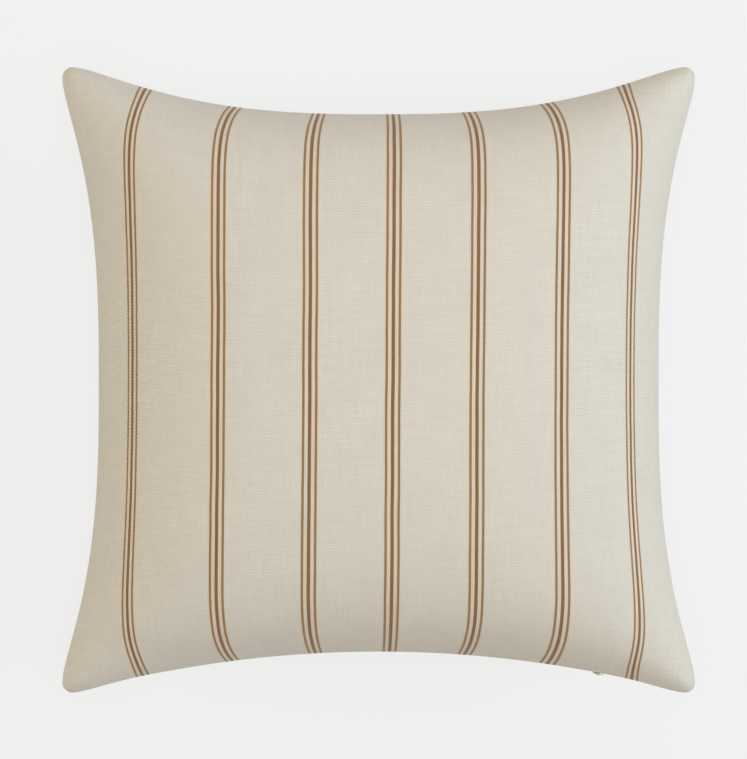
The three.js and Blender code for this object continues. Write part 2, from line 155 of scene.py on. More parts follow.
def finish_sheet(piece: Piece, thickness: float, material: Material) -> None:
    """Smooths a cloth sheet, and gives it its thickness on the inside and its material."""
    smooth = piece.modifiers.new("smooth", "SUBSURF")
    smooth.levels = smooth.render_levels = 1
    smooth.uv_smooth = "PRESERVE_BOUNDARIES"
    wall = piece.modifiers.new("thickness", "SOLIDIFY")
    wall.thickness = thickness
    wall.offset = -1
    piece.data.materials.append(material)


def place(piece: Piece, body: str, slot: str, *nodes: str) -> Piece:
    """Rides a piece on a body, hides the nodes that it stands for and logs its material slot."""
    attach(piece, body)
    if nodes:
        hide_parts(*nodes)
    log.info("%s rides on %s, finish %s", piece.name, body, slot)
    return piece


# --- Shader maths ---


def math_method(operation: str) -> Callable[..., "Number"]:
    """Makes a method of Number that adds one Math node."""

    def method(self: "Number", *others: "Number | float") -> "Number":
        """Adds the node, with this number as its first value."""
        return self.math(operation, *others)

    return method


class Number:
    """A socket that carries a number. Arithmetic on it adds Math nodes to its tree."""

    def __init__(self, shader: "Shader", socket: Socket) -> None:
        """Wraps a socket of a shader's tree."""
        self.shader = shader
        self.socket = socket

    def math(self, operation: str, *others: "Number | float") -> "Number":
        """Adds one Math node with this number as its first value."""
        values = dict(enumerate((self, *others)))
        node = self.shader.node("ShaderNodeMath", {"operation": operation}, values)
        return Number(self.shader, node.outputs[0])

    __add__ = __radd__ = math_method("ADD")
    __sub__ = math_method("SUBTRACT")
    __mul__ = __rmul__ = math_method("MULTIPLY")
    __truediv__ = math_method("DIVIDE")
    __lt__ = math_method("LESS_THAN")
    __gt__ = math_method("GREATER_THAN")
    __abs__ = math_method("ABSOLUTE")
    floor = math_method("FLOOR")
    fraction = math_method("FRACT")
    cosine = math_method("COSINE")

    def __rsub__(self, other: float) -> "Number":
        """other - self."""
        return self.math("MULTIPLY_ADD", -1.0, other)

    def towards(self, other: "Number | float", share: "Number | float") -> "Number":
        """Goes from self to other by a share from 0 to 1."""
        return self + (other - self) * share

    def fade(self, low: float, high: float) -> "Number":
        """Rises smoothly from 0 at low to 1 at high."""
        node = self.shader.node(
            "ShaderNodeMapRange", {"interpolation_type": "SMOOTHSTEP"}, {0: self, 1: low, 2: high})
        return Number(self.shader, node.outputs[0])


class Nodes:
    """A node tree, with one method that adds any node to it."""

    def __init__(self, tree: bpy.types.NodeTree) -> None:
        """Empties the tree."""
        self.tree = tree
        tree.nodes.clear()

    def node(self, kind: str, settings: dict | None = None,
             sockets: dict | None = None) -> bpy.types.Node:
        """Adds a node.

        Args:
            kind: The node's type name.
            settings: Attributes to set first, such as an operation.
            sockets: Values, sockets or nodes by input name or number. A node gives its first output.

        Returns:
            The new node.
        """
        made = self.tree.nodes.new(kind)
        for key, value in (settings or {}).items():
            setattr(made, key, value)
        for key, value in (sockets or {}).items():
            if isinstance(value, Number):
                value = value.socket
            elif isinstance(value, bpy.types.Node):
                value = value.outputs[0]
            if isinstance(value, Socket):
                self.tree.links.new(value, made.inputs[key])
            else:
                made.inputs[key].default_value = value
        return made


class Shader(Nodes):
    """A material and the nodes that make its finish."""

    def __init__(self, name: str) -> None:
        """Starts an empty material with its output node."""
        self.material = bpy.data.materials.new(name)
        self.material.use_nodes = True
        super().__init__(self.material.node_tree)
        self.output = self.node("ShaderNodeOutputMaterial")

    def vector(self, x: Number, y: Number) -> Socket:
        """Joins two numbers into a flat vector."""
        return self.node("ShaderNodeCombineXYZ", {}, {0: x, 1: y, 2: 0.0}).outputs[0]

    def cloth_place(self) -> tuple[Number, Number]:
        """The place on the flat cloth in millimetres, across and along it."""
        uv = self.node("ShaderNodeUVMap", {"uv_map": UV_NAME}).outputs[0]
        parts = self.node("ShaderNodeSeparateXYZ", {}, {0: uv})
        return Number(self, parts.outputs[0]) * 1000.0, Number(self, parts.outputs[1]) * 1000.0

    def body_place(self) -> Socket:
        """The place on the object itself, in metres."""
        return self.node("ShaderNodeTexCoord").outputs["Object"]

    def noise(self, place: Socket, scale: float, detail: float = 2.0) -> Number:
        """Smooth noise from about 0 to 1 at a place."""
        settings = {"noise_dimensions": "3D"}
        sockets = {"Vector": place, "Scale": scale, "Detail": detail}
        return Number(self, self.node("ShaderNodeTexNoise", settings, sockets).outputs[0])

    def mix(self, share: "Number | float", first: object, second: object) -> Socket:
        """Mixes two colours, given as sockets or as linear RGB."""
        full = [(*c, 1.0) if isinstance(c, tuple) else c for c in (first, second)]
        node = self.node("ShaderNodeMix", {"data_type": "RGBA"}, {0: share, 6: full[0], 7: full[1]})
        return node.outputs[2]

    def shaded(self, colour: Socket, factor: Number) -> Socket:
        """A colour made lighter or darker by a factor."""
        node = self.node("ShaderNodeVectorMath", {"operation": "SCALE"}, {0: colour, "Scale": factor})
        return node.outputs[0]

    def bump(self, height: Number, depth: float, strength: float = 1.0) -> Socket:
        """A bumped normal for a height from 0 to 1 that is depth metres deep."""
        sockets = {"Height": height, "Distance": depth, "Strength": strength}
        return self.node("ShaderNodeBump", {}, sockets).outputs[0]

    def finish(self, **sockets: object) -> Material:
        """Closes the shader with a Principled surface and returns the material."""
        named = {key.replace("_", " "): value for key, value in sockets.items()}
        surface = self.node("ShaderNodeBsdfPrincipled", {}, named)
        self.tree.links.new(surface.outputs[0], self.output.inputs["Surface"])
        return self.material


def linear(red: float, green: float, blue: float) -> Colour:
    """Turns a colour of 0 to 255 as a screen shows it into linear light."""
    return tuple(((c / 255 + 0.055) / 1.055) ** 2.4 for c in (red, green, blue))


# --- Finishes ---


@dataclass(frozen=True)
class StripedCloth:
    """The cover's plain weave with groups of brown and ivory warp lines.

    Places and pitches are in millimetres, and the relief in metres. A group is counted in its own
    finer threads outwards from its middle: the thick brown line, ivory, the thin brown line, and
    about one ivory thread past it. The warp leans a little from square, and near the right edge it
    bows outwards at both ends. The slants say how much the beads of the weave differ in tone, in
    the plain cloth and in the brown lines.
    """

    stripes: tuple[float, ...] = (-188.0, -115.5, -49.0, 10.0, 70.0, 132.0, 194.0)
    warp_pitch: float = 1.13
    weft_pitch: float = 1.25
    stripe_pitch: float = 0.87
    thick_threads: float = 1.43
    ivory_threads: float = 4.2
    thin_threads: float = 6.3
    group_threads: float = 7.5
    wander: float = 0.9
    weft_wander: float = 2.2
    lean: float = 0.006
    bow: float = 3.4
    bow_lean: float = 0.009
    bow_from: float = 90.0
    reach: float = 194.0
    slant: float = 0.11
    line_slant: float = 0.85
    weft_in_group: float = 0.2
    drift_scale: float = 0.02
    mottle_scale: float = 26.0
    relief: float = 0.00022
    warp: Colour = linear(219, 211, 196)
    weft: Colour = linear(213, 206, 193)
    ivory: Colour = linear(218, 204, 183)
    brown: Colour = linear(130, 87, 30)
    thin_brown: Colour = linear(151, 111, 61)

    def material(self) -> Material:
        """Makes the cloth's material."""
        s = Shader("striped_cloth")
        x, y = s.cloth_place()
        drift = s.noise(s.vector(x * self.drift_scale, y * self.drift_scale), 1.0) - 0.5
        across = x + drift * self.wander - self.set_over(x, y)
        from_middle, in_group = self.nearest_stripe(across)
        threads = abs(from_middle)
        warp_at = (across / self.warp_pitch).towards(from_middle + 0.5, in_group)
        weft_at = (y + drift * self.weft_wander) / self.weft_pitch
        warp_number, weft_number = warp_at.floor(), weft_at.floor()
        weft_over = ((warp_number + weft_number) * 0.5).fraction() * 2.0
        warp_side, weft_side = warp_at.fraction() - 0.5, weft_at.fraction() - 0.5
        warp_round, weft_round = (warp_side * math.pi).cosine(), (weft_side * math.pi).cosine()
        warp_high = (warp_round * 0.35 + 0.65) * (weft_round * 0.4 + 0.6)
        weft_high = (warp_round * 0.25 + 0.75) * weft_round
        height = warp_high.towards(weft_high, weft_over)
        warp_tone = s.noise(s.vector(warp_number * 3.7, y * 0.035), 1.0, 3.0) - 0.5
        weft_tone = s.noise(s.vector(x * 0.05, weft_number * 4.3), 1.0, 3.0) - 0.5
        tone = warp_tone.towards(weft_tone, weft_over)
        is_thick = (threads < self.thick_threads) * in_group
        is_thin = (threads > self.ivory_threads) * (threads < self.thin_threads)
        warp_colour = s.mix(in_group, self.warp, self.ivory)
        warp_colour = s.mix(is_thin, warp_colour, self.thin_brown)
        warp_colour = s.mix(is_thick, warp_colour, self.brown)
        narrow = 1.0 - abs(weft_side).fade(0.12, 0.36)
        weft_shows = weft_over * (1.0 - in_group * (1.0 - narrow * self.weft_in_group))
        colour = s.mix(weft_shows, warp_colour, self.weft)
        slant = (is_thick + is_thin) * self.line_slant + self.slant
        slanted = ((warp_at + weft_at) * math.pi).cosine() * slant + 1.0
        mottle = s.noise(s.body_place(), self.mottle_scale, 3.0) - 0.5
        # Painted shade: the height term darkens the base colour in the gaps between threads. The tone and
        # mottle terms are the cloth's own uneven colour, and the slant term is the weave's diagonal tone.
        shade = (height * 0.3 + 0.78) * (tone * 0.3 + 1.0) * (mottle * 0.06 + 1.0) * slanted
        normal = s.bump(height * (tone * 0.5 + 1.0), self.relief, 0.6)
        return s.finish(Base_Color=s.shaded(colour, shade), Roughness=0.88, Normal=normal,
                        Specular_IOR_Level=0.25, Sheen_Weight=0.12, Sheen_Roughness=0.6)

    def set_over(self, x: Number, y: Number) -> Number:
        """How far the warp lies to the right of its straight place on the flat cloth."""
        bowed = x.fade(self.bow_from, self.reach)
        ends = y * y * (1 / self.reach ** 2)
        return (y * self.lean).towards((self.bow - y * self.bow_lean) * ends, bowed)

    def nearest_stripe(self, across: Number) -> tuple[Number, Number]:
        """Finds the stripe group that a place lies in.

        Args:
            across: The place across the cloth.

        Returns:
            Its signed count of the group's threads from the group's middle, or 0 outside the
            groups, and 1 inside a group or 0 outside.
        """
        threads, in_group = 0.0, 0.0
        for centre in self.stripes:
            past = (across - centre) / self.stripe_pitch
            inside = abs(past) < self.group_threads
            threads = past * inside + threads
            in_group = inside + in_group
        return threads, in_group


@dataclass(frozen=True)
class PlainCloth:
    """A plain woven cloth of one colour. Pitch in millimetres."""

    name: str
    colour: Colour
    pitch: float
    depth: float = 0.00008
    roughness: float = 0.85
    sheen: float = 0.1

    def material(self) -> Material:
        """Makes the cloth's material."""
        s = Shader(self.name)
        x, y = s.cloth_place()
        warp_at, weft_at = x / self.pitch, y / self.pitch
        weft_over = ((warp_at.floor() + weft_at.floor()) * 0.5).fraction() * 2.0
        warp_round = ((warp_at.fraction() - 0.5) * math.pi).cosine()
        weft_round = ((weft_at.fraction() - 0.5) * math.pi).cosine()
        warp_high = warp_round * (weft_round * 0.4 + 0.6)
        weft_high = weft_round * (warp_round * 0.4 + 0.6)
        height = warp_high.towards(weft_high, weft_over)
        tone = s.noise(s.vector(x * 0.06, weft_at.floor() * 2.9), 1.0) - 0.5
        # Painted shade: the height term darkens the base colour in the gaps between threads. The tone term is
        # the cloth's own uneven colour.
        shade = (height * 0.2 + 0.86) * (tone * 0.16 + 1.0)
        colour = s.shaded(s.mix(0.0, self.colour, self.colour), shade)
        return s.finish(Base_Color=colour, Roughness=self.roughness,
                        Normal=s.bump(height, self.depth, 0.6), Sheen_Weight=self.sheen)


@dataclass(frozen=True)
class Thread:
    """A twisted sewing thread, with its ply showing as slanted ridges and painted shade in the grooves
    between them.
    """

    name: str
    colour: Colour
    twist_pitch: float = 0.0006
    groove: float = 0.72

    def material(self) -> Material:
        """Makes the thread's material."""
        s = Shader(self.name)
        place = s.body_place()
        parts = s.node("ShaderNodeSeparateXYZ", {}, {0: place})
        x, y, z = (Number(s, socket) for socket in parts.outputs)
        twist = ((x + y + z) * (2 * math.pi / self.twist_pitch)).cosine() * 0.5 + 0.5
        tone = s.noise(place, 900.0) - 0.5
        # Painted shade: the grooves between the plies are a darker copy of the thread's colour.
        groove = tuple(c * self.groove for c in self.colour)
        colour = s.shaded(s.mix(twist, self.colour, groove), tone * 0.3 + 1.0)
        return s.finish(Base_Color=colour, Roughness=0.7, Normal=s.bump(twist, 0.00005),
                        Sheen_Weight=0.15)


@dataclass(frozen=True)
class Moulded:
    """Hard small parts: nylon teeth or enamelled metal, with fine handling marks."""

    name: str
    colour: Colour
    worn: Colour
    roughness: float
    metallic: float = 0.0

    def material(self) -> Material:
        """Makes the part's material."""
        s = Shader(self.name)
        place = s.body_place()
        marks = s.noise(place, 1400.0, 4.0)
        worn = marks.fade(0.6, 0.72) * s.noise(place, 120.0).fade(0.45, 0.65)
        grain = s.noise(place, 4000.0)
        colour = s.shaded(s.mix(worn, self.colour, self.worn), (marks - 0.5) * 0.12 + 1.0)
        return s.finish(Base_Color=colour, Roughness=(marks - 0.5) * 0.25 + self.roughness,
                        Metallic=worn * self.metallic, Normal=s.bump(grain, 0.00002, 0.5))


@dataclass(frozen=True)
class Fibre:
    """Loose white polyester fibre, in matted strands."""

    colour: Colour = linear(246, 246, 243)

    def material(self) -> Material:
        """Makes the filling's material."""
        s = Shader("filling_fibre")
        place = s.body_place()
        clumps = s.noise(place, 60.0, 5.0)
        strands = s.noise(place, 900.0, 6.0)
        shade = clumps * 0.16 + strands * 0.12 + 0.86
        colour = s.shaded(s.mix(0.0, self.colour, self.colour), shade)
        normal = s.bump(clumps * 0.6 + strands * 0.4, 0.0012)
        return s.finish(Base_Color=colour, Roughness=0.95, Normal=normal, Sheen_Weight=0.3)


@dataclass(frozen=True)
class Finishes:
    """Every finish of the pillow, made once."""

    cloth: Material
    thread: Material
    ticking_thread: Material
    tape: Material
    label: Material
    ticking: Material
    nylon: Material
    metal: Material
    fibre: Material

    @classmethod
    def make(cls) -> "Finishes":
        """Makes every finish."""
        made = (
            StripedCloth(),
            Thread("sewing_thread", linear(205, 194, 172)),
            Thread("ticking_thread", linear(238, 236, 230)),
            PlainCloth("zip_tape", linear(212, 204, 186), 0.5),
            PlainCloth("label_satin", linear(240, 238, 232), 0.3, 0.00003, 0.45),
            PlainCloth("ticking", linear(240, 239, 233), 0.45, 0.00005),
            Moulded("zip_nylon", linear(208, 199, 179), linear(222, 215, 198), 0.42),
            # The enamel's colour is darkened to the shaded tone of the cloth by the bottom seam: partly the
            # enamel's own colour, partly painted shade.
            Moulded("zip_enamel", linear(186, 177, 158), linear(168, 163, 153), 0.5, 0.9),
            Fibre(),
        )
        return cls(*(finish.material() for finish in made))


# --- Repeats along a path ---


@dataclass
class Repeat:
    """Copies of one small shape along a path, made by Geometry Nodes and turned into a plain mesh."""

    name: str
    unit: tuple[Array, Faces]
    spacing: float
    material: Material
    size_spread: float = 0.06
    seed: int = 7

    def tree(self, unit: Piece) -> bpy.types.NodeTree:
        """Builds the node group that spaces, turns and varies the copies."""
        group = bpy.data.node_groups.new(self.name, "GeometryNodeTree")
        ports = (("Path", "INPUT", "Geometry"), ("Spacing", "INPUT", "Float"),
                 ("Size Spread", "INPUT", "Float"), ("Seed", "INPUT", "Int"),
                 ("Pieces", "OUTPUT", "Geometry"))
        for label, way, kind in ports:
            group.interface.new_socket(label, in_out=way, socket_type="NodeSocket" + kind)
        add = Nodes(group).node
        given = add("NodeGroupInput").outputs
        curve = add("GeometryNodeMeshToCurve", {}, {0: given["Path"]})
        spaced = add("GeometryNodeResampleCurve", {"mode": "LENGTH"},
                     {"Curve": curve, "Length": given["Spacing"]})
        turn = add("FunctionNodeAlignRotationToVector", {"axis": "X", "pivot_axis": "Z"},
                   {"Vector": add("GeometryNodeInputTangent")})
        low, high = (add("ShaderNodeMath", {"operation": operation}, {0: 1.0, 1: given["Size Spread"]})
                     for operation in ("SUBTRACT", "ADD"))
        size = add("FunctionNodeRandomValue", {"data_type": "FLOAT"},
                   {2: low, 3: high, "Seed": given["Seed"]})
        shape = add("GeometryNodeObjectInfo", {}, {"Object": unit})
        copies = add("GeometryNodeInstanceOnPoints", {},
                     {"Points": spaced, "Instance": shape.outputs["Geometry"], "Rotation": turn,
                      "Scale": size.outputs[1]})
        real = add("GeometryNodeRealizeInstances", {}, {0: copies})
        dress = add("GeometryNodeSetMaterial", {}, {"Geometry": real, "Material": self.material})
        add("NodeGroupOutput", {}, {0: dress})
        return group

    def along(self, path: Array) -> Piece:
        """Makes the copies.

        Args:
            path: An open line of points.

        Returns:
            The plain mesh object of all the copies.
        """
        unit = add_mesh(self.name + "_unit", *self.unit)
        line = bpy.data.meshes.new(self.name + "_path")
        line.from_pydata(path.tolist(), [(i, i + 1) for i in range(len(path) - 1)], [])
        holder = add_object(self.name + "_path", line)
        modifier = holder.modifiers.new("repeat", "NODES")
        modifier.node_group = self.tree(unit)
        given = {"Spacing": self.spacing, "Size Spread": self.size_spread, "Seed": self.seed}
        for item in modifier.node_group.interface.items_tree:
            if item.name in given:
                modifier[item.identifier] = given[item.name]
        bpy.context.view_layer.update()
        evaluated = holder.evaluated_get(bpy.context.evaluated_depsgraph_get())
        mesh = bpy.data.meshes.new_from_object(evaluated)
        mesh.name = self.name
        mesh.shade_smooth()
        for helper in (holder, unit):
            bpy.data.objects.remove(helper)
        return add_object(self.name, mesh)


def sew(copies: Repeat, path: Array, slot: str, node: str) -> Piece:
    """Lays the copies along a path, on the pillow, in place of a node."""
    return place(copies.along(path), "pillow", slot, node)


def capsule(length: float, radius: float, sag: float = 0.0,
            sides: int = 6) -> tuple[Array, Faces]:
    """A short round-ended stitch along X.

    Args:
        length: End to end.
        radius: Half its thickness.
        sag: How far its ends dip in Z below its middle.
        sides: Count of sides.

    Returns:
        Its points and faces.
    """
    shares = (-1.0, -0.8, -0.35, 0.35, 0.8, 1.0)
    widths = (0.35, 0.85, 1.0, 1.0, 0.85, 0.35)
    turns = np.linspace(0, 2 * math.pi, sides, endpoint=False)
    rings = [
        np.c_[np.full(sides, share * length / 2), radius * width * np.cos(turns),
              radius * width * np.sin(turns) - sag * share * share]
        for share, width in zip(shares, widths)
    ]
    faces = grid_faces(len(rings), sides, flipped=True, closed=True)
    last = (len(rings) - 1) * sides
    faces += [tuple(range(sides)), tuple(last + i for i in reversed(range(sides)))]
    points = np.vstack(rings)
    return points, orient_out(points, faces)


def loop_unit(half_width: float, half_height: float, wire: float, slant: float,
              around: int = 12, sides: int = 4) -> tuple[Array, Faces]:
    """An oval loop of wire across the path: one turn of a coil or of an overlock stitch.

    Args:
        half_width: Half its size across the path, in Y.
        half_height: Half its size in Z.
        wire: Half the wire's thickness.
        slant: How far the loop leans along the path, in X.
        around: Count of steps round the loop.
        sides: Count of sides of the wire.

    Returns:
        Its points and faces.
    """
    points = []
    for turn in np.linspace(0, 2 * math.pi, around, endpoint=False):
        out = np.array([0.0, math.cos(turn), math.sin(turn)])
        centre = np.array([slant * math.sin(turn), half_width * out[1], half_height * out[2]])
        for side in np.linspace(0, 2 * math.pi, sides, endpoint=False):
            points.append(centre + wire * (math.cos(side) * out + math.sin(side) * np.array([1.0, 0, 0])))
    faces = []
    for k in range(around):
        for i in range(sides):
            j, n = (i + 1) % sides, (k + 1) % around
            faces.append((k * sides + i, k * sides + j, n * sides + j, n * sides + i))
    return np.array(points), orient_out(np.array(points), faces)


def orient_out(points: Array, faces: Faces) -> Faces:
    """Turns every face over if the closed shape they make is inside out."""
    volume = 0.0
    for face in faces:
        a = points[face[0]]
        for b, c in zip(face[1:-1], face[2:]):
            volume += float(np.dot(a, np.cross(points[b], points[c])))
    return faces if volume > 0 else [face[::-1] for face in faces]


# --- The pillow's shape ---


@dataclass(frozen=True)
class Outline:
    """The seam line of the filled cover, seen from above."""

    half_width: float = 0.2115
    half_height: float = 0.203
    side_pull: float = 0.0443
    side_power: float = 2.86
    top_pull: float = 0.0532
    top_power: float = 2.63
    arc_radius: float = 0.870
    zip_half: float = 0.1764
    ear: float = 0.010
    blunt: float = 0.0784
    blunt_power: float = 12.0

    @property
    def zip_share(self) -> float:
        """The share of the bottom seam, either side of its middle, that the zip takes."""
        return self.zip_half / (self.half_width + self.side_pull)

    @property
    def middle_y(self) -> float:
        """How far the outline is moved in Y to stand over the origin."""
        return ARC_CENTRE_Y + self.half_height + self.arc_radius

    def points(self, u: Array, v: Array, inset: Array | float = 0.0) -> Array:
        """Places shares from -1 to 1 across and along the pillow on the plane of the seam.

        Args:
            u: Shares across, towards +X.
            v: Shares along, towards +Y.
            inset: Step in from the seam line.

        Returns:
            X and Y as the last axis.
        """
        end = self.half_width + self.side_pull
        radius = self.arc_radius + inset
        past = np.maximum(0, (np.abs(u) - self.zip_share) / (1 - self.zip_share))
        drop = radius - np.sqrt(radius ** 2 - (u * (end - inset)) ** 2) + self.ear * past ** 2
        pull = np.where(v > 0, self.top_pull * np.abs(u) ** self.top_power, drop)
        blunt = 1 - self.blunt * np.abs(u * v) ** self.blunt_power
        x = u * (self.half_width - inset + self.side_pull * np.abs(v) ** self.side_power) * blunt
        y = v * (self.half_height - inset + pull) * blunt + self.middle_y
        return np.stack(np.broadcast_arrays(x, y), axis=-1)


def grid_marks(cells: int, crowding: float = 0.6) -> Array:
    """Shares from -1 to 1 for grid lines that crowd towards both ends."""
    even = np.linspace(-1, 1, cells + 1)
    return even * (1 - crowding) + np.sin(even * math.pi / 2) * crowding


@dataclass
class ClothLayer:
    """Both panels of one layer of the pillow, as grids that are straight on the flat cloth.

    Each grid holds a panel's outer surface as [row, column, xyz], with heights measured from the
    plane of the seam, and shares holds the u, v of its points on the outline.
    """

    outline: Outline
    half_cloth: float
    gap: float
    inset: float = 0.0
    grids: dict[Side, Array] = field(default_factory=dict)
    shares: tuple[Array, Array] = field(default_factory=tuple)

    @property
    def cells(self) -> int:
        """Count of grid cells across a panel."""
        return len(self.shares[0]) - 1

    @property
    def marks(self) -> Array:
        """Shares of the half cloth where the grid's lines lie."""
        return grid_marks(self.cells)

    def normals(self, side: Side) -> Array:
        """Outward unit normals at a panel's grid points."""
        grid = self.grids[side]
        out = np.cross(np.gradient(grid, axis=1), np.gradient(grid, axis=0)) * side.value
        return out / np.maximum(np.linalg.norm(out, axis=-1, keepdims=True), 1e-12)

    def at(self, side: Side, across: Array, along: Array,
           depth: Array | float = 0.0) -> Array:
        """Finds points on or under a panel.

        Args:
            side: The panel.
            across: Place across the flat cloth in metres, 0 in its middle.
            along: Place along it.
            depth: How far under the outer surface.

        Returns:
            Points in the pillow's frame.
        """
        across, along = np.broadcast_arrays(across, along)
        column, row = (np.interp(place / self.half_cloth, self.marks, np.arange(self.cells + 1))
                       for place in (across, along))
        i, j = (np.minimum(place.astype(int), self.cells - 1) for place in (column, row))
        s, t = (column - i)[..., None], (row - j)[..., None]

        def blend(grid: Array) -> Array:
            """Bilinear value of a grid."""
            near = grid[j, i] * (1 - s) + grid[j, i + 1] * s
            far = grid[j + 1, i] * (1 - s) + grid[j + 1, i + 1] * s
            return near * (1 - t) + far * t

        point = blend(self.grids[side]) - blend(self.normals(side)) * np.asarray(depth)[..., None]
        point[..., 2] += SEAM_Z + side.value * self.gap
        return point

    def cloth_places(self) -> Array:
        """Places of the grid's points on the flat cloth, [row, column, 2]."""
        lines = self.marks * self.half_cloth
        return np.stack(np.meshgrid(lines, lines), axis=-1)

    def inner(self, inset: float, cut: float, gap: float, half_cloth: float) -> "ClothLayer":
        """Makes the layer that nests inside this one.

        Args:
            inset: Its step in at the seam, from the outline.
            cut: Its step in at the crown.
            gap: Half the gap between its panels at the seam.
            half_cloth: Half the side of its flat cloth.

        Returns:
            The inner layer.
        """
        u, v = self.shares
        shift = self.outline.points(u, v, inset) - self.outline.points(u, v)
        grids = {}
        for side, grid in self.grids.items():
            nested = grid.copy()
            nested[..., :2] += shift
            nested[..., 2] *= 1 - cut / np.abs(grid[..., 2]).max()
            grids[side] = nested
        return ClothLayer(self.outline, half_cloth, gap, inset, grids, self.shares)


@dataclass
class FilledCloth(ClothLayer):
    """The cover: two flat squares of cloth, joined at their seam and filled by a cloth simulation."""

    crown: float = 0.0985
    crown_power: float = 2.7
    rest_softness: float = 0.0016
    rest_clearance: float = 0.0003
    farthest_move: float = 0.007
    frames: int = 16

    def dome(self, u: Array, v: Array) -> Array:
        """Points of the smooth front dome at shares u, v."""
        rise = (1 - np.abs(u) ** self.crown_power) * (1 - np.abs(v) ** self.crown_power)
        height = self.crown * np.sqrt(np.maximum(rise, 0))
        return np.concatenate([self.outline.points(u, v), height[..., None]], axis=-1)

    @staticmethod
    def even_shares(line: Callable[[Array], Array], wanted: Array) -> Array:
        """Finds the shares of a line that divide its length evenly.

        Args:
            line: Gives the line's points for shares from -1 to 1.
            wanted: Shares of its length from -1 to 1.

        Returns:
            The shares that lie there.
        """
        fine = np.sin(np.linspace(-math.pi / 2, math.pi / 2, 1201))
        length = np.concatenate([[0], np.cumsum(np.linalg.norm(np.diff(line(fine), axis=0), axis=1))])
        return np.interp(wanted, 2 * length / length[-1] - 1, fine)

    def lay_out(self, cells: int) -> Array:
        """Lays the flat cloth evenly over the dome, before it is simulated."""
        marks = grid_marks(cells)
        middle_u = self.even_shares(lambda t: self.dome(t, np.zeros_like(t)), marks)
        middle_v = self.even_shares(lambda t: self.dome(np.zeros_like(t), t), marks)
        rows = [self.even_shares(lambda t, v=v: self.dome(t, np.full_like(t, v)), marks) for v in middle_v]
        columns = [self.even_shares(lambda t, u=u: self.dome(np.full_like(t, u), t), marks) for u in middle_u]
        self.shares = (np.array(rows), np.array(columns).T)
        return self.dome(*self.shares)

    def bag(self, start: Array) -> Piece:
        """Makes the closed bag of both panels, with the flat cut as its shape at rest."""
        count = len(start)
        flat = np.concatenate([self.cloth_places(), np.zeros((count, count, 1))], axis=-1)
        made = add_mesh("cloth_bag", closed_points(start, start * [1, 1, -1]), closed_faces(count))
        made.shape_key_add(name="filled")
        cut = made.shape_key_add(name="cut")
        cut.data.foreach_set("co", closed_points(flat, flat).ravel())
        seam = made.vertex_groups.new(name="seam")
        rim = rim_of(np.arange(count * count).reshape(count, count))
        seam.add(rim.tolist(), 1.0, "REPLACE")
        return made

    def simulate(self, start: Array) -> Array:
        """Fills the cover by cloth simulation, with its seam held.

        Args:
            start: The front panel's points before it.

        Returns:
            The front panel's points after it.
        """
        bag = self.bag(start)
        cloth = bag.modifiers.new("cloth", "CLOTH")
        settings = {
            "quality": 6, "mass": 0.02, "tension_stiffness": 60, "compression_stiffness": 1.5,
            "shear_stiffness": 18, "bending_stiffness": 1.0, "tension_damping": 5,
            "compression_damping": 5, "shear_damping": 5, "bending_damping": 0.5, "air_damping": 2,
            "use_pressure": True, "uniform_pressure_force": 4500, "vertex_group_mass": "seam",
            "rest_shape_key": bag.data.shape_keys.key_blocks["cut"],
        }
        for key, value in settings.items():
            setattr(cloth.settings, key, value)
        cloth.settings.effector_weights.gravity = 0
        cloth.collision_settings.use_collision = cloth.collision_settings.use_self_collision = False
        scene = bpy.context.scene
        scene.frame_start, scene.frame_end = 1, self.frames
        cloth.point_cache.frame_end = self.frames
        for step in range(1, self.frames + 1):
            scene.frame_set(step)
        filled = bag.evaluated_get(bpy.context.evaluated_depsgraph_get()).data
        after = np.zeros(len(filled.vertices) * 3)
        filled.vertices.foreach_get("co", after)
        scene.frame_set(1)
        bpy.data.objects.remove(bag)
        return after.reshape(-1, 3)[:start.size // 3].reshape(start.shape)

    def fill(self, cells: int = 80) -> None:
        """Makes both panels' grids: the dome, what the simulation adds, and the flat it rests on."""
        start = front = self.lay_out(cells)
        move = self.simulate(start) - start
        far = np.maximum(np.linalg.norm(move, axis=-1, keepdims=True), 1e-9)
        front = start + move / far * self.farthest_move * np.tanh(far / self.farthest_move)
        back = front * [1, 1, -1]
        depth = SEAM_Z - self.gap - self.rest_clearance
        over = (depth + back[..., 2]) / self.rest_softness
        back[..., 2] = -depth + self.rest_softness * np.logaddexp(0, over)
        self.grids = {Side.FRONT: front, Side.BACK: back}


def rim_of(grid: Array) -> Array:
    """The rim of a square grid, counter-clockwise from its first corner."""
    return np.concatenate([grid[0, :-1], grid[:-1, -1], grid[-1, :0:-1], grid[:0:-1, 0]])


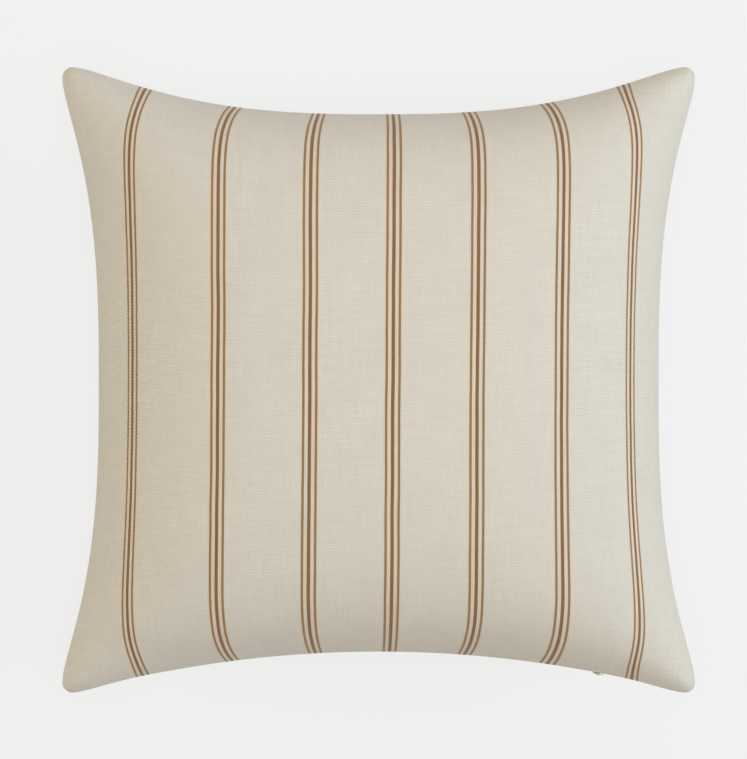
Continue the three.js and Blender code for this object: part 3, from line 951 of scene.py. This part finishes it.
@dataclass(frozen=True)
class Hem:
    """How a panel's edge turns in at the seam, in steps in from the outline and half-gaps in Z.

    Past the zip's ends, the zip's gap and allowance pass into the plain seam's over zip_fade, as a
    share of the way to the corner. The crease lies at tuck, or at tuck_share of a short allowance.
    """

    bulge: float = 0.0003
    roll: float = 0.0008
    roll_share: float = 0.6
    tuck: float = 0.0035
    tuck_share: float = 0.6
    zip_fade: float = 0.25
    gap: float = 0.00045
    zip_gap: float = 0.0008
    allowance: float = 0.0098
    zip_allowance: float = 0.0013

    def loops(self, layer: ClothLayer, side: Side, has_zip: bool) -> list[Array]:
        """Gives the loops that follow the panel's rim inwards, the rim itself first.

        Args:
            layer: The layer that the panel belongs to.
            side: Which panel.
            has_zip: Whether the bottom seam parts for a zip.

        Returns:
            Loops of points, each as long as the rim.
        """
        u, v = (rim_of(shares) for shares in layer.shares)
        past = (np.abs(u) - layer.outline.zip_share) / (1 - layer.outline.zip_share)
        on_zip = np.clip(1 - past / self.zip_fade, 0, 1) * (v <= -1) * has_zip
        gap = self.gap + (self.zip_gap - self.gap) * on_zip
        reach = self.allowance + (self.zip_allowance - self.allowance) * on_zip
        crease = np.minimum(self.tuck, self.tuck_share * reach)
        insets = (-self.bulge, self.roll * self.roll_share, crease, reach)
        heights = (gap + self.roll, gap, gap, gap)
        loops = []
        for inset, height in zip(insets, heights):
            plan = layer.outline.points(u, v, layer.inset + inset)
            loops.append(np.c_[plan, SEAM_Z + side.value * height])
        return loops


def sew_panel(name: str, layer: ClothLayer, side: Side, hem: Hem,
              has_zip: bool = False) -> Piece:
    """Makes one panel as a single sheet: its crowned face and the allowance turned in behind it.

    Args:
        name: The piece's name.
        layer: The layer that it belongs to.
        side: Which panel.
        hem: How its edge turns in.
        has_zip: Whether the bottom seam parts for a zip.

    Returns:
        The sheet, before its thickness.
    """
    count = layer.cells + 1
    points = layer.grids[side] + [0, 0, SEAM_Z + side.value * layer.gap]
    numbers = np.arange(count * count).reshape(count, count)
    loops = hem.loops(layer, side, has_zip)
    rim = rim_of(numbers)
    points = points.reshape(-1, 3)
    points[rim] = loops[0]
    cloth = layer.cloth_places().reshape(-1, 2)
    edge = cloth[rim]
    outward = np.sign(edge) * (np.abs(edge) > layer.half_cloth - 1e-6)
    faces = grid_faces(count, count, flipped=side is Side.BACK)
    rings = [rim]
    for step, loop in enumerate(loops[1:], start=1):
        rings.append(len(points) + np.arange(len(loop)))
        points = np.vstack([points, loop])
        turned = np.linalg.norm(loop - loops[0], axis=1).mean()
        cloth = np.vstack([cloth, edge + outward * turned])
    for near, far in zip(rings, rings[1:]):
        for i in range(len(rim)):
            j = (i + 1) % len(rim)
            quad = (near[j], near[i], far[i], far[j])
            faces.append(quad[::-1] if side is Side.BACK else quad)
    return add_mesh(name, points, faces, cloth)


def lay_strip(name: str, layer: ClothLayer, side: Side, across: Array, along: Array,
              depth: Array | float) -> Piece:
    """Lays a strip of cloth against the inside of a panel.

    Args:
        name: The piece's name.
        layer: The layer that it lies in.
        side: Which panel.
        across: Its places across the layer's flat cloth, as a grid.
        along: Its places along it, as a grid.
        depth: How far under the layer's surface.

    Returns:
        The strip, before its thickness.
    """
    points = layer.at(side, across, along, depth)
    rows, columns = points.shape[:2]
    faces = grid_faces(rows, columns, flipped=side is Side.BACK)
    return add_mesh(name, points.reshape(-1, 3), faces, np.stack([across, along], -1).reshape(-1, 2))


# --- Sub-assemblies ---


def seam_shares(start: float, steps: int = 60) -> tuple[Array, Array]:
    """Shares round the seam, from a share of the bottom's right half round to its left half."""
    side = np.sin(np.linspace(-math.pi / 2, math.pi / 2, steps))
    outward = np.linspace(start, 1, steps // 2)
    ones = np.ones
    u = np.concatenate([outward, ones(steps), -side, -ones(steps), -outward[::-1]])
    v = np.concatenate([-ones(len(outward)), side, ones(steps), -side, -ones(len(outward))])
    return u, v


def seam_path(outline: Outline, start: float, inset: float) -> Array:
    """The line of a thread in the seam's plane, open along the middle of the bottom."""
    plan = outline.points(*seam_shares(start), inset)
    return np.c_[plan, np.full(len(plan), SEAM_Z)]


@dataclass
class Cover:
    """The removable striped cover: two panels, the threads of their seam, and a blank care label.

    The threads start past the zip's ends, by a share of the seam's half. The label's two layers lie
    at label_depths under the back panel, with its fold between them.
    """

    cloth: FilledCloth
    finishes: Finishes
    hem: Hem = field(default_factory=Hem)
    wall: float = 0.0008
    stitch_pitch: float = 0.0030
    stitch_share: float = 0.8
    stitch_radius: float = 0.00028
    stitch_inset: float = 0.0011
    past_zip: float = 0.01
    overlock_pitch: float = 0.0022
    overlock_radius: float = 0.0002
    overlock_inset: float = 0.0103
    overlock_past_zip: float = 0.08
    label_width: float = 0.044
    label_length: float = 0.034
    label_along: float = -0.137
    label_from: float = 0.003
    label_depths: tuple[float, float] = (0.0016, 0.0026)
    label_fold: float = 0.0004
    label_wall: float = 0.0002

    def panel(self, side: Side) -> Piece:
        """Makes and dresses one panel."""
        name = f"cover_panel_{side.word}"
        piece = sew_panel(name, self.cloth, side, self.hem, has_zip=True)
        finish_sheet(piece, self.wall, self.finishes.cloth)
        place(piece, "pillow", "cover_cloth", f"cover_{side.word}")
        flat = 2 * self.cloth.half_cloth
        return piece

    def seam_thread(self) -> Piece:
        """Makes the lockstitches that join the panels, past the ends of the zip."""
        stitch = capsule(self.stitch_share * self.stitch_pitch, self.stitch_radius, sag=0.00008)
        stitches = Repeat("cover_seam_stitches", stitch, self.stitch_pitch, self.finishes.thread)
        path = seam_path(self.cloth.outline, self.cloth.outline.zip_share + self.past_zip, self.stitch_inset)
        return sew(stitches, path, "sewing_thread", "cover_seam_thread")

    def overlock(self) -> Piece:
        """Makes the overlock loops round the raw edges of the seam allowance."""
        loop = loop_unit(0.0013, 0.00175, self.overlock_radius, slant=0.0007)
        loops = Repeat("cover_overlock_loops", loop, self.overlock_pitch, self.finishes.thread)
        start = self.cloth.outline.zip_share + self.overlock_past_zip
        path = seam_path(self.cloth.outline, start, self.overlock_inset)
        return sew(loops, path, "sewing_thread", "cover_overlock_thread")

    def label(self) -> Piece:
        """Makes the blank care label, a folded ribbon sewn in at the left seam."""
        out = np.linspace(self.label_from, self.label_length, 9)
        reach = np.concatenate([out, [self.label_length + self.label_fold], out[::-1]])
        near, far = self.label_depths
        depth = np.concatenate([np.full(9, near), [(near + far) / 2], np.full(9, far)])
        along = self.label_along + np.linspace(-0.5, 0.5, 7) * self.label_width
        across_grid, along_grid = np.meshgrid(reach - self.cloth.half_cloth, along)
        depth_grid = np.broadcast_to(depth, across_grid.shape)
        piece = lay_strip("care_ribbon", self.cloth, Side.BACK, across_grid, along_grid, depth_grid)
        finish_sheet(piece, self.label_wall, self.finishes.label)
        place(piece, "pillow", "label_cloth", "care_label")
        2 * self.label_length
        return piece

    def build(self) -> None:
        """Makes the whole cover."""
        for side in Side:
            self.panel(side)
        self.seam_thread()
        self.overlock()
        self.label()


@dataclass
class Zip:
    """The concealed zip: woven tapes, nylon coils, and the metal stops, slider and pull."""

    cloth: FilledCloth
    finishes: Finishes
    tape_from: float = 0.0022
    tape_to: float = 0.0152
    tape_depth: float = 0.0014
    tape_wall: float = 0.0005
    thread_radius: float = 0.0002
    stitch_length: float = 0.0021
    stitch_pitch: float = 0.0027
    stitch_reach: float = 0.0085
    stitch_depth: float = 0.0007
    coil_inset: float = 0.0036
    coil_lift: float = 0.0016
    coil_pitch: float = 0.00125
    stop_length: float = 0.0027

    def half_on_cloth(self) -> float:
        """Half the zip's length on the flat cloth."""
        cloth = self.cloth
        return float(np.interp(cloth.outline.zip_share, cloth.shares[0][0], cloth.marks)) * cloth.half_cloth

    def tape(self, side: Side) -> Piece:
        """Makes one woven tape against the inside of its panel."""
        half = self.half_on_cloth()
        reach = np.linspace(self.tape_from, self.tape_to, 7)
        across, along = np.meshgrid(np.linspace(-half, half, 81), reach - self.cloth.half_cloth)
        piece = lay_strip(f"zip_tape_{side.word}", self.cloth, side, across, along, self.tape_depth)
        finish_sheet(piece, self.tape_wall, self.finishes.tape)
        place(piece, "pillow", "zip_tape", f"zipper_tape_{side.word}")
        2 * half
        self.tape_to - self.tape_from
        return piece

    def tape_stitches(self, side: Side) -> Piece:
        """Makes the stitches that sew a tape to its panel."""
        half = self.half_on_cloth()
        along = self.stitch_reach - self.cloth.half_cloth
        depth = self.tape_depth + self.stitch_depth
        line = self.cloth.at(side, np.linspace(-half, half, 121), np.array(along), depth)
        stitch = capsule(self.stitch_length, self.thread_radius, sag=0.0001)
        stitches = Repeat(f"zip_tape_stitches_{side.word}", stitch, self.stitch_pitch, self.finishes.thread)
        return sew(stitches, line, "sewing_thread", f"zipper_stitch_{side.word}")

    def coil(self, side: Side) -> Piece:
        """Makes one coil of nylon teeth along the arc of the bottom seam."""
        outline = self.cloth.outline
        ends = (self.stop_length + self.coil_pitch) / outline.arc_radius
        last = math.asin(outline.zip_half / outline.arc_radius) - ends
        angle = np.linspace(-last, last, 121)
        radius = outline.arc_radius + self.coil_inset
        height = np.full_like(angle, SEAM_Z + side.value * self.coil_lift)
        line = np.c_[radius * np.sin(angle), ARC_CENTRE_Y + radius * np.cos(angle), height]
        tooth = loop_unit(0.00082, 0.0005, self.thread_radius, slant=side.value * 0.0004)
        teeth = Repeat(f"zip_teeth_{side.word}", tooth, self.coil_pitch, self.finishes.nylon, size_spread=0.0)
        return sew(teeth, line, "zip_coil", f"zipper_coil_{side.word}")

    def metal_parts(self) -> None:
        """Dresses the stops, the slider and the pull tab, which keep their own shapes."""
        names = ("zipper_top_stop_front", "zipper_top_stop_back", "zipper_bottom_stop", "zipper_slider",
                 "zipper_pull_tab")
        for name in names:
            part = frame["nodes"][name]
            for slot in part.material_slots:
                slot.material = self.finishes.metal
            log.info("%s keeps its shape, finish zip_metal", name)

    def build(self) -> None:
        """Makes the whole zip."""
        for side in Side:
            self.tape(side)
            self.tape_stitches(side)
            self.coil(side)
        self.metal_parts()


@dataclass
class Insert:
    """The filled insert: two ticking panels, their seam, the closed filling opening and a blank tag.

    The filling lies under the ticking by ease at the seam and crown_ease at the crown. cloth_share
    turns a place on the filled insert into one on its flat cloth.
    """

    cover: FilledCloth
    finishes: Finishes
    inset: float = 0.0145
    cut: float = 0.0026
    half_cloth: float = 0.2405
    opening: float = 0.150
    panel_wall: float = 0.0004
    tag_wall: float = 0.0003
    tag_lift: float = 0.0007
    thread_radius: float = 0.0002
    stitch_length: float = 0.002
    stitch_pitch: float = 0.0026
    whip_pitch: float = 0.0036
    ease: float = 0.0016
    crown_ease: float = 0.0024
    lump_depth: float = 0.018
    tag_width: float = 0.04
    tag_ends: tuple[float, float] = (0.045, 0.004)
    cloth_share: float = 1.12
    hem: Hem = field(default_factory=lambda: Hem(bulge=0.0, roll=0.0005, gap=0.0003, allowance=0.006))

    def __post_init__(self) -> None:
        """Nests the insert's layer inside the cover."""
        self.layer = self.cover.inner(self.inset, self.cut, 0.0006, self.half_cloth)

    @property
    def opening_share(self) -> float:
        """The share of the bottom seam's half that the filling opening takes."""
        outline = self.cover.outline
        return self.opening / 2 / (outline.half_width + outline.side_pull)

    def panel(self, side: Side) -> Piece:
        """Makes and dresses one ticking panel."""
        piece = sew_panel(f"insert_panel_{side.word}", self.layer, side, self.hem)
        finish_sheet(piece, self.panel_wall, self.finishes.ticking)
        place(piece, "pillow", "ticking", f"insert_{side.word}")
        flat = 2 * self.half_cloth
        return piece

    def seam_thread(self) -> Piece:
        """Makes the machine seam, open along the filling opening."""
        stitch = capsule(self.stitch_length, self.thread_radius)
        stitches = Repeat("insert_seam_stitches", stitch, self.stitch_pitch, self.finishes.ticking_thread)
        path = seam_path(self.cover.outline, self.opening_share + 0.002, self.inset + 0.0008)
        return sew(stitches, path, "ticking", "insert_seam_thread")

    def closing_stitch(self) -> Piece:
        """Makes the whipped stitches that close the opening after filling."""
        share = np.linspace(-self.opening_share, self.opening_share, 41) * 0.98
        plan = self.cover.outline.points(share, -np.ones_like(share), self.inset + 0.0009)
        whip = loop_unit(0.0010, 0.0011, self.thread_radius, slant=0.0011)
        whips = Repeat("insert_closing_whips", whip, self.whip_pitch, self.finishes.ticking_thread, seed=11)
        path = np.c_[plan, np.full(len(plan), SEAM_Z)]
        return sew(whips, path, "ticking", "insert_closing_stitch")

    def label(self) -> Piece:
        """Makes the blank tag at the insert's top seam."""
        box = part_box("insert_label")
        middle = (box[0].x + box[1].x) / 2
        half = self.tag_width / 2
        across, along = np.meshgrid(middle * self.cloth_share + np.linspace(-half, half, 7),
                                    self.half_cloth - np.linspace(*self.tag_ends, 9))
        piece = lay_strip("insert_tag", self.layer, Side.FRONT, across, along, -self.tag_lift)
        finish_sheet(piece, self.tag_wall, self.finishes.label)
        place(piece, "pillow", "label_cloth", "insert_label")
        return piece

    def filling(self) -> Piece:
        """Makes the fibre filling, a little lumpy under the ticking."""
        core = self.cover.inner(self.inset + self.ease, self.cut + self.crown_ease, 0.0, self.half_cloth)
        x, y = np.moveaxis(core.grids[Side.FRONT][..., :2], -1, 0)
        lumps = (0.5 + 0.25 * np.sin(x * 210 + 2 * np.sin(y * 90))
                 + 0.25 * np.sin(y * 190 + 2 * np.sin(x * 110)))
        halves = []
        for side in Side:
            grid = core.grids[side].copy()
            grid[..., 2] *= 1 - self.lump_depth * lumps
            halves.append(grid + [0, 0, SEAM_Z])
        piece = add_mesh("filling", closed_points(*halves), closed_faces(core.cells + 1))
        piece.data.materials.append(self.finishes.fibre)
        place(piece, "pillow", "filling", "fill_core")
        return piece

    def build(self) -> None:
        """Makes the whole insert."""
        self.filling()
        for side in Side:
            self.panel(side)
        self.seam_thread()
        self.closing_stitch()
        self.label()


# --- Studio ---


@dataclass(frozen=True)
class SoftLight:
    """A square area light that faces the pillow."""

    name: str
    place: tuple[float, float, float]
    size: float
    power: float
    colour: Colour

    def build(self) -> None:
        """Adds the light."""
        lamp = bpy.data.lights.new(self.name, "AREA")
        lamp.size, lamp.energy, lamp.color = self.size, self.power, self.colour
        made = add_object(self.name, lamp)
        made.location = self.place
        made.rotation_euler = made.location.to_track_quat("Z", "Y").to_euler()


@dataclass(frozen=True)
class Studio:
    """The pale floor, the soft lights and the camera straight above the front panel."""

    floor_half: float = 4.0
    floor_drop: float = 0.0003
    floor_colour: Colour = linear(238, 238, 237)
    floor_glow: float = 0.85
    glow_colour: Colour = linear(242, 242, 242)
    sky: Colour = (1.0, 0.875, 0.679)
    sky_light: float = 0.28
    distance: float = 2.4
    view_width: float = 0.574
    aim: tuple[float, float] = (-0.0039, 0.0)
    sensor: float = 36.0
    lights: tuple[SoftLight, ...] = (
        SoftLight("key_right", (2.3, 0.3, 1.5), 1.6, 37.4, (0.742, 0.9, 1.0)),
        SoftLight("fill_left", (-2.4, 0.2, 1.5), 1.8, 13.4, (1.0, 0.957, 0.617)),
        SoftLight("top", (0.0, 1.8, 2.2), 1.6, 8.0, (1.0, 0.91, 0.98)),
        SoftLight("front", (0.1, -0.2, 3.6), 1.8, 59.3, (0.884, 0.903, 1.0)),
    )

    def floor(self) -> None:
        """Lays a wide pale floor under the pillow."""
        signs = np.array([(-1, -1), (1, -1), (1, 1), (-1, 1)])
        corners = np.c_[signs * self.floor_half, np.full(4, -self.floor_drop)]
        made = add_mesh("studio_floor", corners, [(0, 1, 2, 3)])
        s = Shader("studio_floor")
        paper = s.node("ShaderNodeBsdfDiffuse", {}, {"Color": (*self.floor_colour, 1.0)})
        glow = s.node("ShaderNodeEmission", {}, {"Color": (*self.glow_colour, 1.0)})
        mixed = s.node("ShaderNodeMixShader", {}, {0: self.floor_glow, 1: paper, 2: glow})
        s.tree.links.new(mixed.outputs[0], s.output.inputs["Surface"])
        made.data.materials.append(s.material)

    def world(self) -> None:
        """Sets an even sky, as light as the floor where the camera sees it."""
        world = bpy.data.worlds.new("studio")
        world.use_nodes = True
        add = Nodes(world.node_tree).node
        light = add("ShaderNodeBackground", {}, {0: (*self.sky, 1.0), 1: self.sky_light})
        seen = add("ShaderNodeBackground", {}, {0: (*self.glow_colour, 1.0)})
        rays = add("ShaderNodeLightPath").outputs["Is Camera Ray"]
        mixed = add("ShaderNodeMixShader", {}, {0: rays, 1: light, 2: seen})
        add("ShaderNodeOutputWorld", {}, {0: mixed})
        bpy.context.scene.world = world

    def camera(self) -> None:
        """Puts a long lens straight above the pillow, with the top of the cover upwards."""
        lens = bpy.data.cameras.new("camera")
        lens.sensor_width = self.sensor
        lens.lens = self.sensor * self.distance / self.view_width
        lens.clip_end = 50
        made = add_object("camera", lens)
        made.location = (*self.aim, SEAM_Z + self.distance)
        bpy.context.scene.camera = made

    def build(self) -> None:
        """Sets up the whole studio."""
        self.camera()
        self.floor()
        self.world()
        for light in self.lights:
            light.build()
        bpy.context.scene.view_settings.view_transform = "Standard"


def main() -> None:
    """Builds the studio and the pillow, from the cover inwards."""
    logging.basicConfig(level=logging.INFO, format="%(name)s: %(message)s")
    Studio().build()
    finishes = Finishes.make()
    cloth = FilledCloth(Outline(), half_cloth=0.254, gap=0.0009)
    cloth.fill()
    Cover(cloth, finishes).build()
    Zip(cloth, finishes).build()
    Insert(cloth, finishes).build()


if __name__ == "__main__":
    main()
